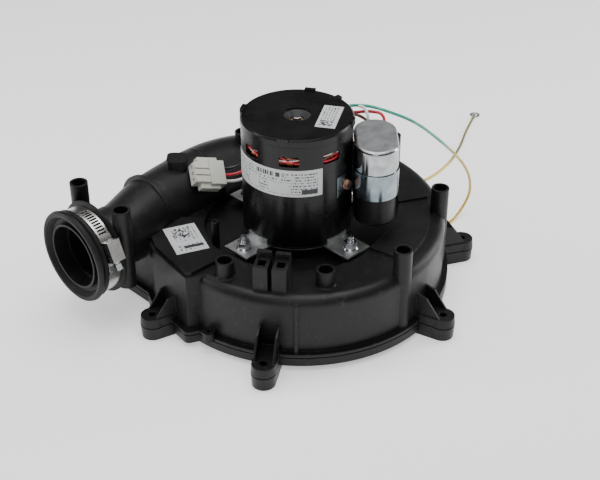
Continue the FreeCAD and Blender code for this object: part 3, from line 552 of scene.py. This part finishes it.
def metal_finishes():
    """Bare and plated metals, and the painted motor can, by slot."""
    return {
        "motor_paint": gloss_paint(),
        "can_aluminium": drawn_can(),
        "stainless": plated_metal(
            "brushed_stainless", rgb(0.52, 0.51, 0.49), rgb(0.68, 0.67, 0.65), rgb(0.4, 0.39, 0.38),
            rough=0.26, across=200.0, along=900.0),
        "zinc_steel": plated_metal(
            "bright_zinc", rgb(0.50, 0.52, 0.54), rgb(0.66, 0.68, 0.70), rgb(0.38, 0.38, 0.39),
            rough=0.24, swing=0.04, depth=0.000003),
        "zinc_plate": plated_metal(
            "zinc_plated_sheet", rgb(0.36, 0.37, 0.37), rgb(0.50, 0.51, 0.51), rgb(0.28, 0.27, 0.25),
            rough=0.4, swing=0.06, across=300.0, along=300.0, depth=0.000005),
        "ground_steel": plated_metal(
            "ground_shaft_steel", rgb(0.58, 0.58, 0.58), rgb(0.72, 0.72, 0.72), rgb(0.4, 0.4, 0.4),
            rough=0.22),
        "rotor_steel": plated_metal(
            "lamination_steel", rgb(0.2, 0.2, 0.21), rgb(0.32, 0.32, 0.33), rgb(0.15, 0.13, 0.12),
            rough=0.45, swing=0.08, across=4000.0, along=10.0, depth=0.00006),
        "brass": plated_metal(
            "satin_brass", rgb(0.66, 0.48, 0.2), rgb(0.78, 0.6, 0.3), rgb(0.4, 0.3, 0.15),
            rough=0.3),
        "bearing_bronze": plated_metal(
            "sintered_bronze", rgb(0.4, 0.26, 0.13), rgb(0.52, 0.34, 0.18), rgb(0.2, 0.13, 0.07),
            rough=0.5),
        "copper_wire": plated_metal(
            "enamelled_copper", rgb(0.42, 0.14, 0.06), rgb(0.66, 0.28, 0.14), rgb(0.85, 0.5, 0.35),
            rough=0.28),
        "copper_screw": plated_metal(
            "copper_plated_screw", rgb(0.30, 0.19, 0.14), rgb(0.45, 0.30, 0.22), rgb(0.2, 0.14, 0.1),
            rough=0.3, swing=0.05, across=600.0, depth=0.000005),
        "tinned_terminal": plated_metal(
            "tinned_copper", rgb(0.5, 0.49, 0.46), rgb(0.65, 0.64, 0.6), rgb(0.35, 0.33, 0.3),
            rough=0.35),
    }


def wire_finishes():
    """Insulation of each wire, by slot."""
    return {
        "wire_black": insulation("black_insulation", rgb(0.01, 0.01, 0.011), rgb(0.02, 0.02, 0.021)),
        "wire_red": insulation("red_insulation", rgb(0.52, 0.015, 0.03), rgb(0.66, 0.03, 0.06)),
        "wire_white": insulation("white_insulation", rgb(0.72, 0.72, 0.7), rgb(0.82, 0.82, 0.8)),
        "wire_brown": insulation("brown_insulation", rgb(0.10, 0.035, 0.02), rgb(0.17, 0.07, 0.04)),
        "wire_green_yellow": earth_insulation(),
    }


def label_finishes():
    """The three printed labels, by node. They carry rows, bars and cells in place of any words."""
    return {
        "wrap_label": printed_label(
            "printed_wrap_label", wrapped_axes, centre=(0, 0, 0.12), turn=195.5,
            half_u=0.037, half_v=0.009, pitch=0.0024, patches=[
                patch(0.031, -0.0068, 0.006, 0.0019, share=1.0),
                patch(-0.002, 0.0068, 0.014, 0.0018, share=0.5, cell_u=BAR_WIDTH),
                patch(0.008, -0.004, 0.008, 0.0045, share=0.0),
                patch(-0.014, -0.003, 0.005, 0.0055, share=0.0)]),
        "top_label": printed_label(
            "printed_cap_label", flat_axes, centre=(0.0135, -0.0202, 0.0), turn=32.0,
            half_u=0.015, half_v=0.0055, pitch=0.0022, patches=[
                patch(-0.0105, 0.0, 0.0042, 0.0042, share=0.55, cell_u=CELL_WIDTH, cell_v=CELL_WIDTH)]),
        "housing_label": printed_label(
            "printed_housing_label", flat_axes, centre=(-0.079, 0.041, 0.0), turn=67.0,
            half_u=0.016, half_v=0.0095, pitch=0.0034, patches=[
                patch(-0.0115, -0.003, 0.0018, 0.0075, share=1.0),
                patch(0.008, 0.001, 0.006, 0.006, share=0.55, cell_u=CELL_WIDTH, cell_v=CELL_WIDTH),
                patch(-0.0055, 0.0, 0.0025, 0.0095, share=0.0)]),
    }


def strap_finish():
    """Zinc of the capacitor's strap, bluer, darker and smoother than the mounting plate's."""
    return plated_metal(
        "blue_zinc_strap", rgb(0.19, 0.235, 0.26), rgb(0.32, 0.37, 0.40), rgb(0.27, 0.25, 0.22),
        rough=0.2, swing=0.05, across=300.0, along=300.0, depth=0.000005)


FINISHES = {**plastic_finishes(), **metal_finishes(), **wire_finishes()}
FINISHES_BY_NODE = {"capacitor_strap": strap_finish(), **label_finishes()}


def paint(piece, material):
    piece.data.materials.clear()
    piece.data.materials.append(material)


def finish_frame_nodes():
    """Paints each node of the frame by its own finish, or else by its slot's."""
    slots = {row["node"]: row["material_slot"] for row in frame["record"]["subparts"]}
    for name, piece in NODES.items():
        paint(piece, FINISHES_BY_NODE.get(name) or FINISHES[slots[name]])


# ---- wires ----------------------------------------------------------------------------
def wire_curve(name, route, diameter, slot_name, cyclic=False, roundness=5, steps=10):
    """Round wire along a route in millimetres. Its diameter is in metres."""
    curve = bpy.data.curves.new(name, "CURVE")
    curve.dimensions = "3D"
    curve.bevel_depth = diameter / 2
    curve.bevel_resolution = roundness
    curve.resolution_u = steps
    curve.use_fill_caps = True
    spline = curve.splines.new("NURBS")
    spline.points.add(len(route) - 1)
    for point, place in zip(spline.points, route):
        point.co = (*(c * MM for c in place), 1.0)
    spline.order_u = 3
    spline.use_endpoint_u = not cyclic
    spline.use_cyclic_u = cyclic
    piece = bpy.data.objects.new(name, curve)
    bpy.context.scene.collection.objects.link(piece)
    piece.data.materials.append(FINISHES[slot_name])
    return piece


def fitted(piece):
    """Fixes a piece to the still part of the fan."""
    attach(piece, "root")
    return piece


def mesh_piece(name, mesh):
    """Piece of the still part with a mesh that is ready."""
    piece = bpy.data.objects.new(name, mesh)
    bpy.context.scene.collection.objects.link(piece)
    return fitted(piece)


def as_mesh(wire, name):
    """Mesh piece in the place of a wire or a rim that is no free cord."""
    bpy.context.view_layer.update()
    ready = wire.evaluated_get(bpy.context.evaluated_depsgraph_get())
    mesh = bpy.data.meshes.new_from_object(ready)
    bpy.data.objects.remove(wire)
    return mesh_piece(name, mesh)


def bead(name, route, diameter, slot_name, roundness=4, steps=6):
    """Closed round bead along a route in millimetres."""
    wire = wire_curve(f"{name}_curve", route, diameter, slot_name, cyclic=True, roundness=roundness,
                      steps=steps)
    return as_mesh(wire, name)


def plug_leads():
    """Three leads from the motor's grommet to the nylon plug, which all share."""
    for colour, route in LEADS.items():
        slot_name = f"wire_{colour}"
        lead = fitted(wire_curve(f"{colour}_plug_lead", route[::-1], WIRE_D, slot_name))
        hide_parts(f"{colour}_lead")


def earth_wire():
    """Earth wire from the motor's upper grommet down to the floor, and along it to its ring terminal."""
    slot_name = "wire_green_yellow"
    wire = fitted(wire_curve("earth_wire", GROUND_ROUTE, WIRE_D, slot_name))
    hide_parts("ground_wire")


def capacitor_lead():
    """White lead beside the red and brown ones. It is held at both ends."""
    curve = wire_curve("white_lead_curve", CAPACITOR_LEAD, WIRE_D, "wire_white")
    as_mesh(curve, "capacitor_white_lead")


# ---- what shows inside the cooling slots -------------------------------------------------
def wound_end_turns():
    """Copper strand wound round the ring of coil ends under the cooling slots."""
    points = COIL_TURNS * COIL_POINTS_PER_TURN
    route = []
    for i in range(points):
        turn = math.tau * i / COIL_POINTS_PER_TURN
        round_ring = math.tau * i / points
        sway = COIL_SWAY * math.sin(round_ring * COIL_SWAYS_ROUND)
        radius = COIL_RING_R + (COIL_HALF_WIDTH + sway) * math.cos(turn)
        height = COIL_Z + (COIL_HALF_HEIGHT + sway) * math.sin(turn)
        route.append((radius * math.cos(round_ring), radius * math.sin(round_ring), height))
    bead("wound_end_turns", route, STRAND_D, "copper_wire", roundness=1, steps=2)


def internal_leads():
    """Leads laced over the coil ends, close behind the slots, crossing one another."""
    for name, slot_name, diameter, height, waves, phase in LACED_LEADS:
        route = []
        for i in range(LACING_POINTS):
            angle = math.tau * i / LACING_POINTS
            radius = LACING_R + LACING_R_SWING * math.sin(LACING_R_WAVES * angle + phase)
            lift = LACING_LIFT * math.sin(waves * angle + phase)
            lift += LACING_RIPPLE * math.sin(LACING_RIPPLES * angle)
            route.append((radius * math.cos(angle), radius * math.sin(angle), height + lift))
        bead(name, route, diameter * MM, slot_name)


# ---- repeated detail by Geometry Nodes ----------------------------------------------------
def thread_tree():
    """Stack of thin rings, one per thread, along Z. Sizes are named inputs."""
    tree = bpy.data.node_groups.new("thread_rings", "GeometryNodeTree")
    kinds = {"Radius": FLOAT, "Pitch": FLOAT, "Depth": FLOAT, "Threads": "NodeSocketInt"}
    for label, kind in kinds.items():
        socket = tree.interface.new_socket(label, in_out="INPUT", socket_type=kind)
        socket.default_value = THREAD[label]
    tree.interface.new_socket("Finish", in_out="INPUT", socket_type="NodeSocketMaterial")
    tree.interface.new_socket("Geometry", in_out="OUTPUT", socket_type="NodeSocketGeometry")
    nodes = tree.nodes
    link = tree.links.new
    start = nodes.new("NodeGroupInput")
    end = nodes.new("NodeGroupOutput")
    path = nodes.new("GeometryNodeCurvePrimitiveCircle")
    path.inputs["Resolution"].default_value = THREAD_SIDES
    section = nodes.new("GeometryNodeCurvePrimitiveCircle")
    section.inputs["Resolution"].default_value = THREAD_SECTION_SIDES
    ring = nodes.new("GeometryNodeCurveToMesh")
    line = nodes.new("GeometryNodeMeshLine")
    step = nodes.new("ShaderNodeCombineXYZ")
    stack = nodes.new("GeometryNodeInstanceOnPoints")
    real = nodes.new("GeometryNodeRealizeInstances")
    coat = nodes.new("GeometryNodeSetMaterial")
    link(start.outputs["Radius"], path.inputs["Radius"])
    link(start.outputs["Depth"], section.inputs["Radius"])
    link(path.outputs["Curve"], ring.inputs["Curve"])
    link(section.outputs["Curve"], ring.inputs["Profile Curve"])
    link(start.outputs["Threads"], line.inputs["Count"])
    link(start.outputs["Pitch"], step.inputs["Z"])
    link(step.outputs[0], line.inputs["Offset"])
    link(line.outputs["Mesh"], stack.inputs["Points"])
    link(ring.outputs["Mesh"], stack.inputs["Instance"])
    link(stack.outputs["Instances"], real.inputs["Geometry"])
    link(real.outputs["Geometry"], coat.inputs["Geometry"])
    link(start.outputs["Finish"], coat.inputs["Material"])
    link(coat.outputs["Geometry"], end.inputs["Geometry"])
    return tree, {item.name: item.identifier for item in tree.interface.items_tree}


def grown_mesh(tree, names, values):
    """Mesh that the tree gives with these named values, with the modifier gone again."""
    seed = bpy.data.objects.new("seed", bpy.data.meshes.new("seed"))
    bpy.context.scene.collection.objects.link(seed)
    grow = seed.modifiers.new("grow", "NODES")
    grow.node_group = tree
    for label, value in values.items():
        grow[names[label]] = value
    bpy.context.view_layer.update()
    ready = seed.evaluated_get(bpy.context.evaluated_depsgraph_get())
    mesh = bpy.data.meshes.new_from_object(ready)
    seed.modifiers.remove(grow)
    bpy.data.objects.remove(seed)
    return mesh


def stud_threads():
    """Threads at the top of each ear stud."""
    tree, names = thread_tree()
    low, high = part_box("ear_studs")
    reach = max(high[0], -low[0]) - STUD_R
    top = high[2] - FIRST_THREAD_BELOW_TOP
    mesh = grown_mesh(tree, names, {**THREAD, "Finish": FINISHES["zinc_steel"]})
    for index in range(STUD_COUNT):
        angle = math.tau * index / STUD_COUNT
        threads = mesh.copy()
        threads.transform(Matrix.Translation((reach * math.cos(angle), reach * math.sin(angle), top)))
        mesh_piece(f"stud_threads_{index + 1}", threads)


# ---- rolled edges of the motor can ------------------------------------------------------------
def ring_route(radius, height):
    """Points round the motor's axis, in millimetres."""
    angles = [math.tau * i / ROLLED_EDGE_POINTS for i in range(ROLLED_EDGE_POINTS)]
    return [(radius * math.cos(angle), radius * math.sin(angle), height) for angle in angles]


def shell_beads():
    """Rolled edge under the cap and at the foot of the motor can."""
    for name, (radius, height) in ROLLED_EDGES.items():
        bead(name, ring_route(radius, height), ROLLED_EDGE_D, "motor_paint")


# ---- camera, light and floor ------------------------------------------------------------------
def camera():
    """Long lens that looks down on the fan from the corner between -X and -Y."""
    data = bpy.data.cameras.new("camera")
    data.lens = LENS_MM
    data.sensor_width = SENSOR_MM
    view = bpy.data.objects.new("camera", data)
    view.location = CAMERA_PLACE
    view.rotation_euler = (math.radians(CAMERA_TILT), 0.0, math.radians(CAMERA_HEADING))
    bpy.context.scene.collection.objects.link(view)
    bpy.context.scene.camera = view


def area_light(name, place, size, power):
    """Rectangular light that points at the fan."""
    data = bpy.data.lights.new(name, "AREA")
    data.shape = "RECTANGLE"
    data.size, data.size_y = size
    data.energy = power
    light = bpy.data.objects.new(name, data)
    light.location = place
    light.rotation_euler = (Vector(LIT_POINT) - Vector(place)).to_track_quat("-Z", "Y").to_euler()
    bpy.context.scene.collection.objects.link(light)


def studio():
    """Soft light from above, from both sides and from over the camera."""
    for row in LIGHTS:
        area_light(*row)


def sky():
    """Pale overhead and along the horizon, and dark between, so that level faces stay dark."""
    world = bpy.data.worlds.new("studio")
    world.use_nodes = True
    shader = Shader(world.node_tree)
    height = shader.axes(shader.add("ShaderNodeTexCoord").outputs["Generated"])["Z"]
    overhead = shader.spread(height, low=0.55, high=1.0, to_low=0.06, to_high=0.9)
    horizon = shader.spread(height, low=0.12, high=0.3, to_low=0.75, to_high=0.0)
    back = world.node_tree.nodes["Background"]
    back.inputs["Color"].default_value = rgb(1.0, 1.0, 1.0)
    shader.join(shader.math("ADD", overhead, horizon), back.inputs["Strength"])
    bpy.context.scene.world = world


def floor():
    """Pale floor that gives off some light of its own, so that it stays pale in the shade."""
    corners = [(-1, -1), (1, -1), (1, 1), (-1, 1)]
    mesh = bpy.data.meshes.new("floor")
    mesh.from_pydata([(x * FLOOR_HALF, y * FLOOR_HALF, 0) for x, y in corners], [], [(0, 1, 2, 3)])
    ground = bpy.data.objects.new("floor", mesh)
    bpy.context.scene.collection.objects.link(ground)
    material, _, face = new_material("pale_floor", Roughness=0.9)
    set_inputs(face, {"Base Color": rgb(0.95, 0.95, 0.95), "Emission Color": rgb(1.0, 1.0, 1.0),
                      "Emission Strength": 0.55})
    mesh.materials.append(material)


camera()
studio()
sky()
floor()
finish_frame_nodes()
earth_wire()
plug_leads()
capacitor_lead()
wound_end_turns()
internal_leads()
stud_threads()
shell_beads()
